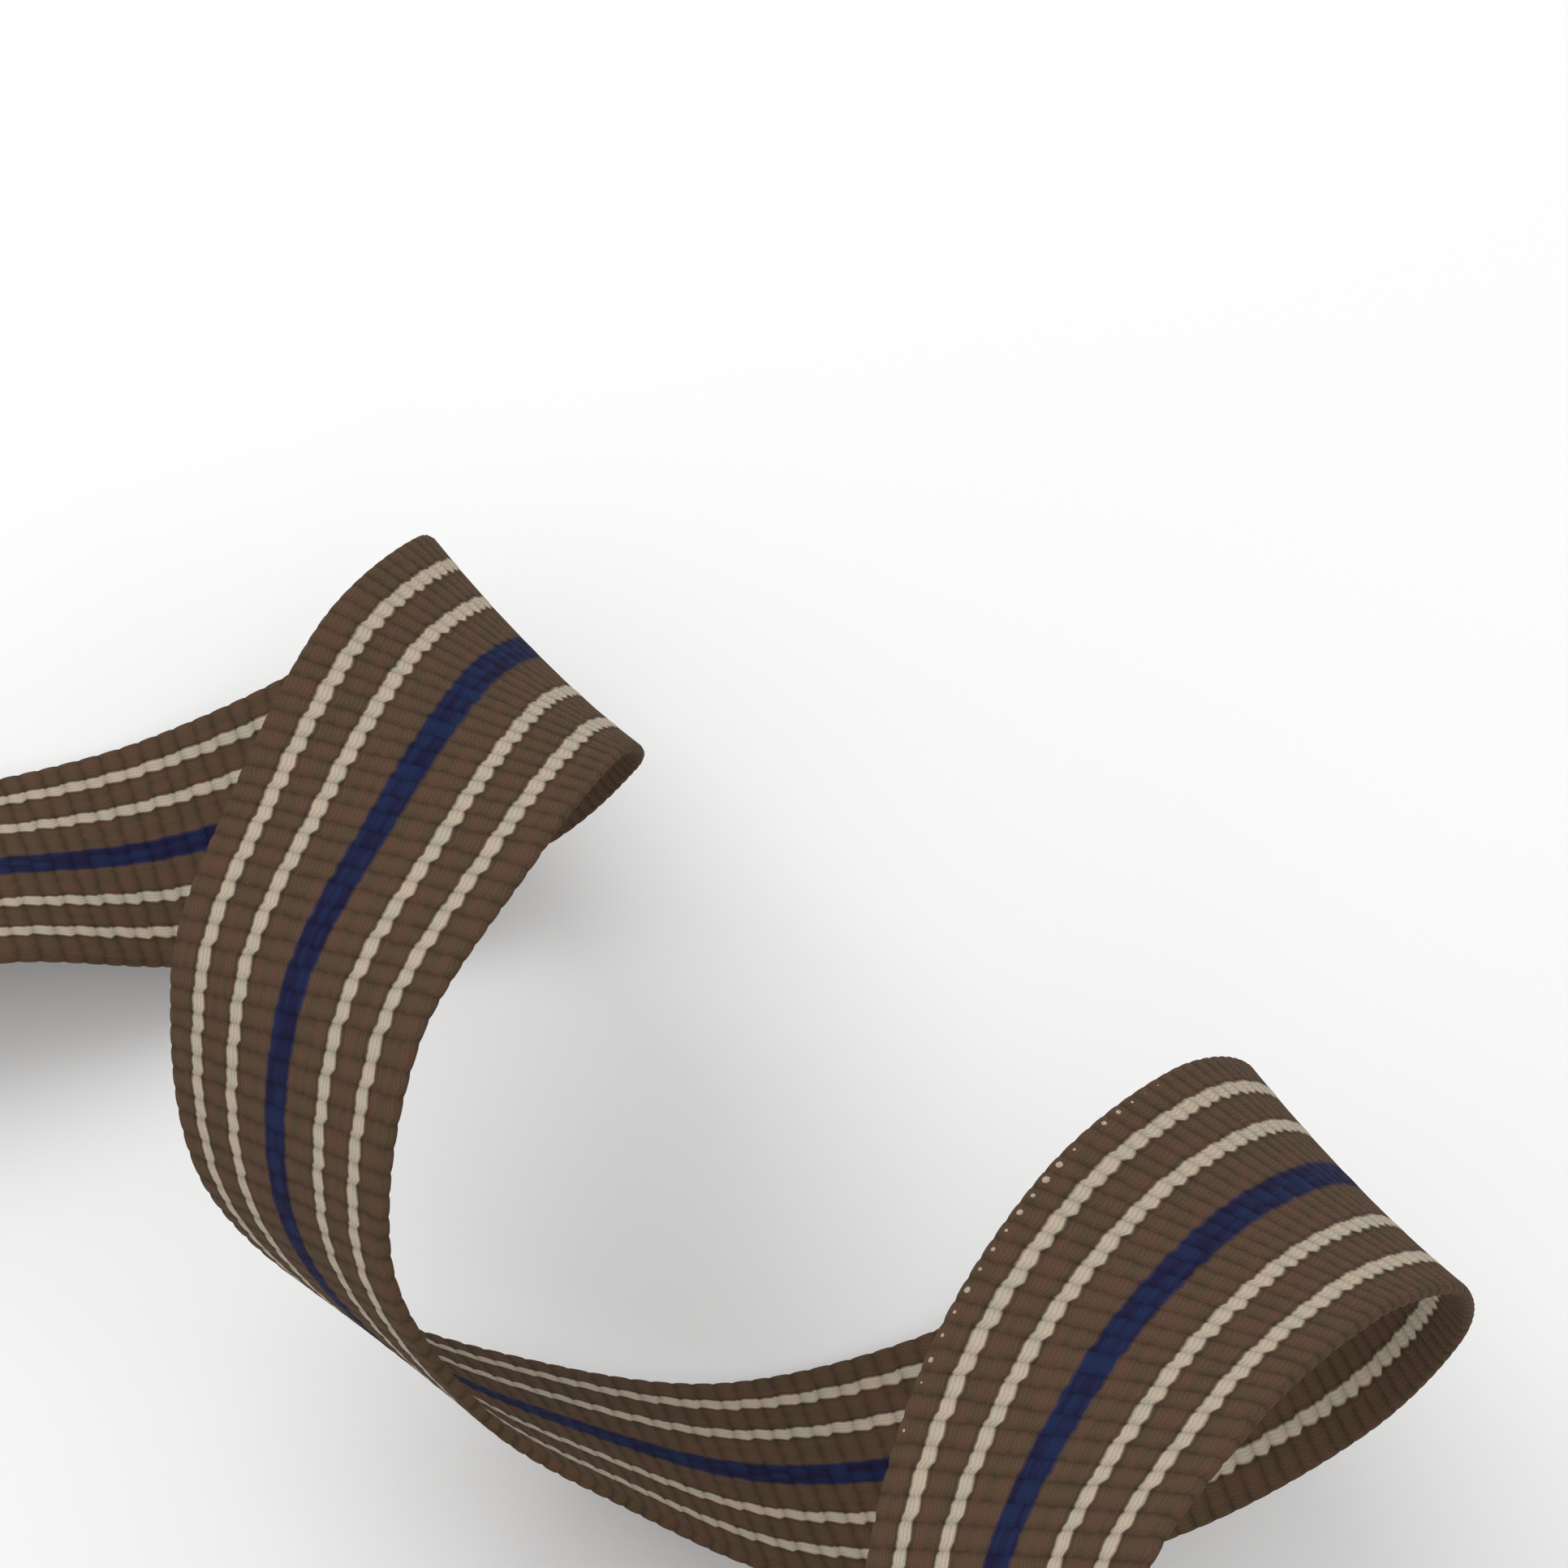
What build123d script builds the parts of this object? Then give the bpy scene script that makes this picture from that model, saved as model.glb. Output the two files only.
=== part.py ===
# Gait belt: a striped cotton strap lying in a loose spiral, with a toothed steel buckle at one end
# and a crimped steel tip at the other.  Millimetres, +Z up, the table at Z = 0.
from build123d import *
from math import asin, atan, cos, degrees, hypot, radians, sin
import os

os.makedirs("parts", exist_ok=True)

# driving dimensions
webbing_width = 50.8
webbing_thickness = 2.0

thread_height = 0.4          # how far a stitch stands out of the cloth
bar_radius = 2.0             # the buckle bar that the cloth is folded round
bar_gap = 0.2
bar_end_radius = 1.2
fold_reach = 50.0            # bar to the cut end of the folded-back cloth
rise_run = 20.0              # bar to where the two layers meet

tip_sheet = 0.8
tip_length = 22.0
tip_gap = 0.05

frame_length = 60.0
frame_inner = 53.0
rail_width = 4.5
frame_half_height = 2.0
anvil_start = 22.0
anvil_length = 11.0
ear_thickness = 2.2
ear_gap = 0.5
pin_radius = 1.5
pin_along = 26.0
pin_height = 7.0
cam_radius = 4.0
cam_bore_gap = 0.08
spring_wire = 0.7
spring_turns = 5

# heights that follow from the layers
tab_middle = thread_height + webbing_thickness / 2
sewn_middle = tab_middle + webbing_thickness
bar_height = thread_height + webbing_thickness + bar_gap + bar_radius
tip_middle = tip_sheet + tip_gap + webbing_thickness / 2
flat_middle = webbing_thickness / 2

# the strap's course
# Each station: centre x, y, z, then the compass heading and the tilt, in degrees,
# of the direction across the strap towards its marked selvedge.
stations = [
    (-171.5, 94, sewn_middle, 90, 0),
    (-153.5, 94, 3.0, 90, 0),
    (-135.5, 94, 2.0, 91, 0),
    (-117, 94.5, 1.3, 93, 0),
    (-91, 96, 1.6, 96, 0),
    (-53, 99, 5, 99, -3),
    (-18, 105, 14, 104, -10),
    (16, 113, 22, 109, -21),
    (48, 120, 17, 113, -28),
    (79, 128, 8, 109, -15),
    (109, 138, 10, 109, 0),
    (134, 145, 29, 118, 14),
    (143, 140, 59, 136, 16),
    (137, 122, 84, 154, 4),
    (126, 94, 97, 161, -14),
    (114, 65, 97, 151, -29),
    (113, 39, 78, 142, -37),
    (128, 26, 54, 132, -42),
    (153, 20, 33, 119, -43),
    (181, 17, 18, 108, -36),
    (212, 22, 12, 104, -22),
    (241, 32, 21, 106, -8),
    (261, 40, 45, 114, 0),
    (266, 42, 76, 125, 0),
    (257, 35, 106, 137, -6),
    (240, 19, 128, 149, -17),
    (222, -5, 141, 158, -33),
    (209, -34, 144, 160, -50),
    (211, -66, 132, 172, -36),
    (217, -86, 106, 195, -14),
    (220, -96, 74, 222, 4),
    (211, -98, 42, 248, 8),
    (187, -98, 18, 262, 4),
    (155, -100, 5, 272, 1),
    (120, -102, 1.6, 274, 0),
    (81, -105, 1.1, 275, 0),
    (41, -108, 1.05, 277, 0),
    (1, -113, 1.05, 280, 0),
    (-37, -120, 1.1, 284, 0),
    (-67, -128, 1.3, 286, 0),
    (-93, -136, tip_middle, 287, 0),
]

# the strap's stretches: name, first station, last station, sections in the loft
stretches = [
    ("strap_buckle_run", 0, 5, 7),
    ("strap_low_arch", 5, 8, 7),
    ("strap_loop_1_foot", 8, 10, 6),
    ("strap_loop_1_rise", 10, 12, 6),
    ("strap_loop_1_crown", 12, 14, 6),
    ("strap_loop_1_fall", 14, 17, 7),
    ("strap_loop_2_foot", 17, 20, 7),
    ("strap_loop_2_rise", 20, 22, 6),
    ("strap_loop_2_side", 22, 24, 6),
    ("strap_loop_2_crown", 24, 27, 7),
    ("strap_last_fall", 27, 30, 7),
    ("strap_landing", 30, 33, 7),
    ("strap_tip_run", 33, 40, 9),
]



def way_across(heading, tilt):
    """Direction across the strap from its compass heading and its tilt, in degrees."""
    level = Vector(cos(radians(heading)), sin(radians(heading)), 0)
    return level * cos(radians(tilt)) + Vector(0, 0, sin(radians(tilt)))


centres = [Vector(x, y, z) for x, y, z, heading, tilt in stations]
across = [way_across(heading, tilt) for x, y, z, heading, tilt in stations]
reach = [0.0]
for here, there in zip(centres, centres[1:]):
    reach.append(reach[-1] + (there - here).length)


def station_slopes(values):
    """Rate of change at each station, from the stretches on either side of it."""
    steps = [b - a for a, b in zip(reach, reach[1:])]
    rates = [(b - a) / step for a, b, step in zip(values, values[1:], steps)]
    inner = []
    for before, after, rate_before, rate_after in zip(steps, steps[1:], rates, rates[1:]):
        inner.append((rate_before * after + rate_after * before) / (before + after))
    return [rates[0] * 2 - inner[0]] + inner + [rates[-1] * 2 - inner[-1]]


centre_slopes = station_slopes(centres)
across_slopes = station_slopes(across)


def between(values, slopes, first, part):
    """Value a given part of the way from one station to the next, on a smooth curve."""
    step = reach[first + 1] - reach[first]
    ease = 3 * part**2 - 2 * part**3
    start_pull = slopes[first] * (step * (part**3 - 2 * part**2 + part))
    end_pull = slopes[first + 1] * (step * (part**3 - part**2))
    return values[first] * (1 - ease) + start_pull + values[first + 1] * ease + end_pull


def strap_plane(position):
    """Plane of the strap's cross-section; position counts stations and may fall between two."""
    first = min(int(position), len(stations) - 2)
    part = position - first
    centre = between(centres, centre_slopes, first, part)
    small = 0.001
    if part < 0.5:
        along = between(centres, centre_slopes, first, part + small) - centre
    else:
        along = centre - between(centres, centre_slopes, first, part - small)
    return Plane(origin=centre, x_dir=between(across, across_slopes, first, part), z_dir=along.normalized())


def strap_stretch(name, first, last, sections):
    """One stretch of webbing, lofted through sections evenly spread over its stations."""
    with BuildPart() as stretch:
        for index in range(sections):
            with BuildSketch(strap_plane(first + (last - first) * index / (sections - 1))):
                Rectangle(webbing_width, webbing_thickness)
        loft()
    stretch.part.label = name
    export_step(stretch.part, f"parts/{name}.step")


for name, first, last, sections in stretches:
    strap_stretch(name, first, last, sections)

# buckle end: planes
# fold_plane: X out of the strap's end, Y across, Z up, with its origin on the table under the bar.
course_start = strap_plane(0).z_dir
outward = Vector(-course_start.X, -course_start.Y, 0).normalized()
fold_plane = Plane(
    origin=Vector(stations[0][0], stations[0][1], 0) + outward * fold_reach,
    x_dir=outward,
    z_dir=(0, 0, 1),
)
# buckle_plane: the buckle's own middle plane, dipping from the bar so that its front rests on the table.
buckle_dip = degrees(asin((bar_height - frame_half_height) / frame_length))
bar_centre = fold_plane.from_local_coords(Vector(0, 0, bar_height))
buckle_out = fold_plane.from_local_coords(Vector(cos(radians(buckle_dip)), 0, -sin(radians(buckle_dip))))
buckle_out = buckle_out - fold_plane.origin
buckle_up = fold_plane.from_local_coords(Vector(sin(radians(buckle_dip)), 0, cos(radians(buckle_dip))))
buckle_up = buckle_up - fold_plane.origin
buckle_plane = Plane(origin=bar_centre, x_dir=buckle_out, z_dir=buckle_up)


def side_plane(plane):
    """Upright plane through the same origin: its X is the given plane's X, its Y is the plane's Z."""
    return Plane(origin=plane.origin, x_dir=plane.x_dir, z_dir=plane.y_dir * -1)


# the cloth folded round the buckle's bar
inner = bar_radius + bar_gap
outer = inner + webbing_thickness
lean = 2 * atan(inner / rise_run)
layer_top = thread_height + 2 * webbing_thickness
tab_top = thread_height + webbing_thickness


def on_bar(radius, angle):
    return (radius * cos(angle), bar_height + radius * sin(angle))


quarter = radians(90)
with BuildPart() as strap_fold:
    with BuildSketch(side_plane(fold_plane)):
        with BuildLine():
            outer_start = (-rise_run - webbing_thickness * inner / rise_run, layer_top)
            Polyline((-fold_reach, layer_top), outer_start, on_bar(outer, quarter + lean))
            ThreePointArc(on_bar(outer, quarter + lean), on_bar(outer, lean / 2), on_bar(outer, -quarter))
            Polyline(
                on_bar(outer, -quarter),
                (-fold_reach, thread_height),
                (-fold_reach, layer_top),
            )
        make_face()
        with BuildLine():
            Polyline((-rise_run, tab_top), on_bar(inner, quarter + lean))
            ThreePointArc(on_bar(inner, quarter + lean), on_bar(inner, lean / 2), on_bar(inner, -quarter))
            Polyline(on_bar(inner, -quarter), (-rise_run, tab_top))
        make_face(mode=Mode.SUBTRACT)
    extrude(amount=webbing_width / 2, both=True)
strap_fold.part.label = "strap_fold"
export_step(strap_fold.part, "parts/strap_fold.step")

# box stitching and the blank care label
box_near = -23.0
box_far = -47.0
box_half = 21.0
stitch_pitch = 3.5
stitch_length = 2.5
stitch_width = 0.8
label_length = 17.0
label_half = 17.0
label_thickness = 0.4
label_centre = (box_near + box_far) / 2


def stitch_spots(start, end):
    """Middle of each stitch on a straight seam, with the seam's direction."""
    length = hypot(end[0] - start[0], end[1] - start[1])
    count = round(length / stitch_pitch)
    spots = []
    for index in range(count):
        part = (index + 0.5) / count
        spots.append((start[0] + (end[0] - start[0]) * part, start[1] + (end[1] - start[1]) * part))
    return spots


def seam(name, runs, bottom):
    """A row of short threads along each run, standing one thread height over the given level."""
    middle = fold_plane.offset(bottom + thread_height / 2)
    with BuildPart(middle) as stitches:
        for start, end in runs:
            crosswise = abs(end[1] - start[1]) > abs(end[0] - start[0])
            size = (stitch_width, stitch_length) if crosswise else (stitch_length, stitch_width)
            with Locations(*stitch_spots(start, end)):
                Box(*size, thread_height)
    stitches.part.label = name
    export_step(stitches.part, f"parts/{name}.step")


box_runs = [
    ((box_near, -box_half), (box_near, box_half)),
    ((box_far, -box_half), (box_far, box_half)),
    ((box_far, box_half + 1.5), (box_near, box_half + 1.5)),
    ((box_far, -box_half - 1.5), (box_near, -box_half - 1.5)),
]
label_near = label_centre - label_length / 2
label_far = label_centre + label_length / 2
label_row = label_half - 2
label_runs = [((label_near, side * label_row), (label_far, side * label_row)) for side in (-1, 1)]
seam("box_stitch_top", box_runs, layer_top)
seam("box_stitch_under", box_runs, 0)
seam("label_stitch", label_runs, layer_top + label_thickness)

with BuildPart(fold_plane.offset(layer_top + label_thickness / 2)) as care_label:
    with Locations((label_centre, 0)):
        Box(label_length, 2 * label_half, label_thickness)
care_label.part.label = "care_label"
export_step(care_label.part, "parts/care_label.step")

# buckle frame: rails, anvil bar, front bar and ears
frame_outer = frame_inner + 2 * rail_width
rail_middle = (frame_inner + rail_width) / 2
rail_back = 5.0
ear_middle = frame_inner / 2 + ear_gap + ear_thickness / 2
ear_round = 5.0
front_bar = 5.0
anvil_thickness = 2.0

with BuildPart() as buckle_frame:
    with BuildSketch(buckle_plane.offset(-frame_half_height)):
        with Locations(((frame_length - rail_back) / 2, 0)):
            RectangleRounded(frame_length + rail_back, frame_outer, 4.0)
        with Locations(((frame_length - front_bar - rail_back) / 2, 0)):
            Rectangle(frame_length - front_bar + rail_back + 0.02, frame_inner, mode=Mode.SUBTRACT)
    extrude(amount=2 * frame_half_height)
    with BuildSketch(buckle_plane.offset(-anvil_thickness)):
        with Locations((anvil_start + anvil_length / 2, 0)):
            Rectangle(anvil_length, frame_inner + 1)
    extrude(amount=anvil_thickness)
    for side in (-1, 1):
        ear_plane = Plane(
            origin=buckle_plane.from_local_coords(Vector(0, side * ear_middle, 0)),
            x_dir=buckle_plane.x_dir,
            z_dir=buckle_plane.y_dir * -1,
        )
        with BuildSketch(ear_plane):
            with Locations((pin_along, pin_height)):
                Circle(ear_round)
            with Locations((pin_along, pin_height / 2 + 0.5)):
                Rectangle(2 * ear_round, pin_height - 1)
        extrude(amount=ear_thickness / 2, both=True)
    with BuildSketch(side_plane(buckle_plane)):
        Circle(bar_end_radius)
        with Locations((pin_along, pin_height)):
            Circle(pin_radius)
    extrude(amount=frame_outer, both=True, mode=Mode.SUBTRACT)
    straight_edges = buckle_frame.edges().filter_by(GeomType.LINE)
    fillet(straight_edges.filter_by(lambda e: abs(e.length - frame_inner) < 0.1), 0.6)
buckle_frame.part.label = "buckle_frame"
export_step(buckle_frame.part, "parts/buckle_frame.step")

with BuildPart() as web_bar:
    with BuildSketch(side_plane(buckle_plane)):
        Circle(bar_radius)
    extrude(amount=frame_inner / 2, both=True)
    with BuildSketch(side_plane(buckle_plane)):
        Circle(bar_end_radius)
    extrude(amount=frame_outer / 2, both=True)
web_bar.part.label = "web_bar"
export_step(web_bar.part, "parts/web_bar.step")

# toothed cam with its thumb lever
cam_half = frame_inner / 2 - 0.5
lever_half = 21.0
lever_end = 57.0
tooth_count = 10
tooth_width = 2.0
tooth_pitch = 3.9
first_tooth = 8.0
spring_room = 5.0
tooth_reach = 6.4

with BuildPart() as toothed_cam:
    with BuildSketch(side_plane(buckle_plane)):
        with Locations((pin_along, pin_height)):
            Circle(cam_radius)
    extrude(amount=cam_half, both=True)
    with BuildSketch(side_plane(buckle_plane)):
        with BuildLine():
            Polyline(
                (pin_along, pin_height + cam_radius - 2.2),
                (pin_along, pin_height + cam_radius),
                (lever_end - 8, 7.6),
                (lever_end, 9.6),
                (lever_end, 7.6),
                (lever_end - 8, 5.6),
                close=True,
            )
        make_face()
    extrude(amount=lever_half, both=True)
    for index in range(tooth_count):
        tooth_side = (first_tooth + index // 2 * tooth_pitch) * (1 if index % 2 else -1)
        tooth_plane = Plane(
            origin=buckle_plane.from_local_coords(Vector(0, tooth_side, 0)),
            x_dir=buckle_plane.x_dir,
            z_dir=buckle_plane.y_dir * -1,
        )
        with BuildSketch(tooth_plane):
            with BuildLine():
                Polyline(
                    (pin_along - 1.8, pin_height - 3.2),
                    (pin_along + 2.6, pin_height - 2.6),
                    (pin_along + 0.6, pin_height - tooth_reach),
                    close=True,
                )
            make_face()
        extrude(amount=tooth_width / 2, both=True)
    with BuildSketch(side_plane(buckle_plane)):
        with Locations((pin_along, pin_height)):
            Circle(pin_radius + cam_bore_gap)
    extrude(amount=frame_outer, both=True, mode=Mode.SUBTRACT)
    with BuildSketch(side_plane(buckle_plane)):
        with Locations((pin_along, pin_height - 1.6)):
            Rectangle(2 * cam_radius + 2, 8.4)
    extrude(amount=spring_room, both=True, mode=Mode.SUBTRACT)
toothed_cam.part.label = "toothed_cam"
export_step(toothed_cam.part, "parts/toothed_cam.step")

# cam pin with two domed heads
pin_half = ear_middle + ear_thickness / 2
head_radius = 2.6
head_height = 1.2
with BuildPart() as cam_pin:
    with BuildSketch(side_plane(buckle_plane)):
        with Locations((pin_along, pin_height)):
            Circle(pin_radius)
    extrude(amount=pin_half, both=True)
    for side in (-1, 1):
        head_plane = Plane(
            origin=buckle_plane.from_local_coords(Vector(pin_along, side * pin_half, pin_height)),
            x_dir=buckle_plane.x_dir,
            z_dir=buckle_plane.y_dir * side,
        )
        with BuildSketch(head_plane):
            Circle(head_radius)
        extrude(amount=head_height)
    chamfer(cam_pin.edges().sort_by(Axis(bar_centre, buckle_plane.y_dir))[0], 0.6)
    chamfer(cam_pin.edges().sort_by(Axis(bar_centre, buckle_plane.y_dir))[-1], 0.6)
cam_pin.part.label = "cam_pin"
export_step(cam_pin.part, "parts/cam_pin.step")

# torsion spring round the pin, as one closed ring for each turn
spring_radius = pin_radius + 0.25 + spring_wire / 2
spring_pitch = 1.1
with BuildPart() as cam_spring:
    for turn in range(spring_turns):
        turn_side = (turn - (spring_turns - 1) / 2) * spring_pitch
        turn_plane = Plane(
            origin=buckle_plane.from_local_coords(Vector(pin_along, turn_side, pin_height)),
            x_dir=buckle_plane.x_dir,
            z_dir=buckle_plane.y_dir,
        )
        with Locations(turn_plane):
            Torus(spring_radius, spring_wire / 2)
cam_spring.part.label = "cam_spring"
export_step(cam_spring.part, "parts/cam_spring.step")

# crimped tip, the webbing inside it and its rivets
course_end = strap_plane(len(stations) - 1).z_dir
tip_along = Vector(course_end.X, course_end.Y, 0).normalized()
tip_mouth = Vector(stations[-1][0], stations[-1][1], 0)
tip_plane = Plane(origin=tip_mouth, x_dir=tip_along, z_dir=(0, 0, 1))
tip_height = 2 * tip_middle
tip_wall = tip_sheet + tip_gap
tip_width = webbing_width + 2 * tip_wall
tip_corner = 1.6
tip_cover = tip_length - tip_wall
rivet_radius = 1.5
rivet_head_radius = 3.0
rivet_head_height = 0.9
rivet_spots = [(tip_cover / 2, side * 13.0) for side in (-1, 1)]

with BuildPart() as belt_tip:
    with BuildSketch(tip_plane):
        with Locations((tip_length / 2, 0)):
            Rectangle(tip_length, tip_width)
    extrude(amount=tip_height)
    fillet(belt_tip.edges().filter_by(Axis.Z).sort_by(Axis(tip_mouth, tip_along))[-2:], tip_corner)
    with BuildSketch(tip_plane.offset(tip_sheet)):
        with Locations((tip_cover / 2, 0)):
            Rectangle(tip_cover + 2 * tip_gap, webbing_width + 2 * tip_gap)
    extrude(amount=webbing_thickness + 2 * tip_gap, mode=Mode.SUBTRACT)
    with BuildSketch(tip_plane):
        with Locations(*rivet_spots):
            Circle(rivet_radius)
    extrude(amount=tip_height, mode=Mode.SUBTRACT)
belt_tip.part.label = "belt_tip"
export_step(belt_tip.part, "parts/belt_tip.step")

with BuildPart() as strap_tip_end:
    with BuildSketch(tip_plane.offset(tip_wall)):
        with Locations((tip_cover / 2, 0)):
            Rectangle(tip_cover, webbing_width)
        with Locations(*rivet_spots):
            Circle(rivet_radius, mode=Mode.SUBTRACT)
    extrude(amount=webbing_thickness)
strap_tip_end.part.label = "strap_tip_end"
export_step(strap_tip_end.part, "parts/strap_tip_end.step")

with BuildPart() as tip_rivets:
    with BuildSketch(tip_plane):
        with Locations(*rivet_spots):
            Circle(rivet_radius)
    extrude(amount=tip_height)
    with BuildSketch(tip_plane.offset(tip_height)):
        with Locations(*rivet_spots):
            Circle(rivet_head_radius)
    extrude(amount=rivet_head_height, taper=35)
tip_rivets.part.label = "tip_rivets"
export_step(tip_rivets.part, "parts/tip_rivets.step")
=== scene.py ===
from math import atan, cos, hypot, pi, radians, sin, tan

import bmesh
import bpy
import numpy as np
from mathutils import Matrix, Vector


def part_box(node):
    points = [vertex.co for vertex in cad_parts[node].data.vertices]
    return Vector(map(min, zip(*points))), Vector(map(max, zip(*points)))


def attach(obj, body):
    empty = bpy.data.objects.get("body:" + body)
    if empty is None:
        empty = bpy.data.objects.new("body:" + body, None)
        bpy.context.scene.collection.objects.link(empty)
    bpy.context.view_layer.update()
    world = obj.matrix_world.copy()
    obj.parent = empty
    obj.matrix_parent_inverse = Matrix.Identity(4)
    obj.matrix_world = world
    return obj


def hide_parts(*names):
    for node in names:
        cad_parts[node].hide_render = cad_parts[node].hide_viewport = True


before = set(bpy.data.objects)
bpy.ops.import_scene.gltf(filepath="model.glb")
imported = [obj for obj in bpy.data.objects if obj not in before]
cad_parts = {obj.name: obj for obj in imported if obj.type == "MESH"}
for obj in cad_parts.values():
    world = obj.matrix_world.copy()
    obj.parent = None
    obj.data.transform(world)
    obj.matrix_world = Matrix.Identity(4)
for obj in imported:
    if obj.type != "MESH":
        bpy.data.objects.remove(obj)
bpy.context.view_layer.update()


# a node's output, with arithmetic
class Wire:
    def __init__(self, tree, socket=None):
        self.tree = tree
        self.socket = socket

    # adds a node with these settings and inputs; an input that is a wire gets linked
    def add(self, kind, settings={}, sockets={}, output=0):
        made = self.tree.nodes.new(kind)
        for name, value in settings.items():
            setattr(made, name, value)
        for name, value in sockets.items():
            if isinstance(value, Wire):
                self.tree.links.new(value.socket, made.inputs[name])
            else:
                made.inputs[name].default_value = value
        return Wire(self.tree, made.outputs[output] if made.outputs else None)

    def maths(self, operation, *values):
        return self.add("ShaderNodeMath", {"operation": operation}, dict(enumerate(values)))

    def __add__(self, other):
        return self.maths("ADD", self, other)

    def __radd__(self, other):
        return self.maths("ADD", other, self)

    def __sub__(self, other):
        return self.maths("SUBTRACT", self, other)

    def __rsub__(self, other):
        return self.maths("SUBTRACT", other, self)

    def __mul__(self, other):
        return self.maths("MULTIPLY", self, other)

    def __truediv__(self, other):
        return self.maths("DIVIDE", self, other)

    def __pow__(self, other):
        return self.maths("POWER", self, other)

    def size(self):
        return self.maths("ABSOLUTE", self)

    def part(self):
        return self.maths("FRACT", self)

    def whole(self):
        return self.maths("FLOOR", self)

    def smaller(self, other):
        return self.maths("MINIMUM", self, other)

    # 0 below low, 1 above high, smooth between them
    def rise(self, low, high):
        sockets = {"Value": self, "From Min": low, "From Max": high}
        return self.add("ShaderNodeMapRange", {"interpolation_type": "SMOOTHSTEP"}, sockets)

    # first colour where this wire is 0, second where it is 1
    def mix(self, first, second):
        return self.add("ShaderNodeMix", {"data_type": "RGBA"}, {0: self, 6: first, 7: second}, 2)

    # clouds over the place that this wire carries
    def noise(self, scale, detail):
        return self.add("ShaderNodeTexNoise", {}, {"Vector": self, "Scale": scale, "Detail": detail}, 0)


# the strap's course, the same stations as the solids
course = {
    "buckleBar": (-0.2215, 0.094, 0.0046),
    "foldReach": 0.050,
    "riseRun": 0.020,
    "wrapRadius": 0.0032,      # middle of the cloth round the bar
    "tabHeight": 0.0014,
    "topHeight": 0.0034,
    "cornerRadius": 0.03,
    "insideTip": 0.0209,
    "halfCloth": 0.001,
    "foldCounts": (120, 60, 40, 20, 80),    # points on the tab, turn, slope, bend and top layer
    "insideCount": 60,
    "step": 0.0004,
    "feeler": 0.0006,          # reach ahead and behind that gives the way along
}

# centre x, y, z, then heading and tilt in degrees of the way across to the marked selvedge
stations = [
    (-0.1715, 0.094, 0.0034, 90, 0),
    (-0.1535, 0.094, 0.0030, 90, 0),
    (-0.1355, 0.094, 0.0020, 91, 0),
    (-0.117, 0.0945, 0.0013, 93, 0),
    (-0.091, 0.096, 0.0016, 96, 0),
    (-0.053, 0.099, 0.005, 99, -3),
    (-0.018, 0.105, 0.014, 104, -10),
    (0.016, 0.113, 0.022, 109, -21),
    (0.048, 0.120, 0.017, 113, -28),
    (0.079, 0.128, 0.008, 109, -15),
    (0.109, 0.138, 0.010, 109, 0),
    (0.134, 0.145, 0.029, 118, 14),
    (0.143, 0.140, 0.059, 136, 16),
    (0.137, 0.122, 0.084, 154, 4),
    (0.126, 0.094, 0.097, 161, -14),
    (0.114, 0.065, 0.097, 151, -29),
    (0.113, 0.039, 0.078, 142, -37),
    (0.128, 0.026, 0.054, 132, -42),
    (0.153, 0.020, 0.033, 119, -43),
    (0.181, 0.017, 0.018, 108, -36),
    (0.212, 0.022, 0.012, 104, -22),
    (0.241, 0.032, 0.021, 106, -8),
    (0.261, 0.040, 0.045, 114, 0),
    (0.266, 0.042, 0.076, 125, 0),
    (0.257, 0.035, 0.106, 137, -6),
    (0.240, 0.019, 0.128, 149, -17),
    (0.222, -0.005, 0.141, 158, -33),
    (0.209, -0.034, 0.144, 160, -50),
    (0.211, -0.066, 0.132, 172, -36),
    (0.217, -0.086, 0.106, 195, -14),
    (0.220, -0.096, 0.074, 222, 4),
    (0.211, -0.098, 0.042, 248, 8),
    (0.187, -0.098, 0.018, 262, 4),
    (0.155, -0.100, 0.005, 272, 1),
    (0.120, -0.102, 0.0016, 274, 0),
    (0.081, -0.105, 0.0011, 275, 0),
    (0.041, -0.108, 0.00105, 277, 0),
    (0.001, -0.113, 0.00105, 280, 0),
    (-0.037, -0.120, 0.0011, 284, 0),
    (-0.067, -0.128, 0.0013, 286, 0),
    (-0.093, -0.136, 0.00185, 287, 0),
]


def wayAcross(heading, tilt):
    flat = cos(radians(tilt))
    return (flat * cos(radians(heading)), flat * sin(radians(heading)), sin(radians(tilt)))


# rate of change at each station, from the stretches on either side of it
def stationSlopes(values, steps):
    rates = np.diff(values, axis=0) / steps[:, None]
    before, after = steps[:-1, None], steps[1:, None]
    inner = (rates[:-1] * after + rates[1:] * before) / (before + after)
    return np.vstack([2 * rates[0] - inner[0], inner, 2 * rates[-1] - inner[-1]])


def smoothCourse():
    centres = np.array([station[:3] for station in stations])
    across = np.array([wayAcross(*station[3:]) for station in stations])
    steps = np.linalg.norm(np.diff(centres, axis=0), axis=1)
    middles, ways = [], []
    for values, found in ((centres, middles), (across, ways)):
        slopes = stationSlopes(values, steps)
        for index, step in enumerate(steps):
            count = int(step / course["step"])
            part = (np.arange(count) / count)[:, None]
            start = values[index] * (2 * part**3 - 3 * part**2 + 1)
            start = start + slopes[index] * step * (part**3 - 2 * part**2 + part)
            end = values[index + 1] * (3 * part**2 - 2 * part**3)
            end = end + slopes[index + 1] * step * (part**3 - part**2)
            found.append(start + end)
    return np.vstack(middles), np.vstack(ways)


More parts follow.
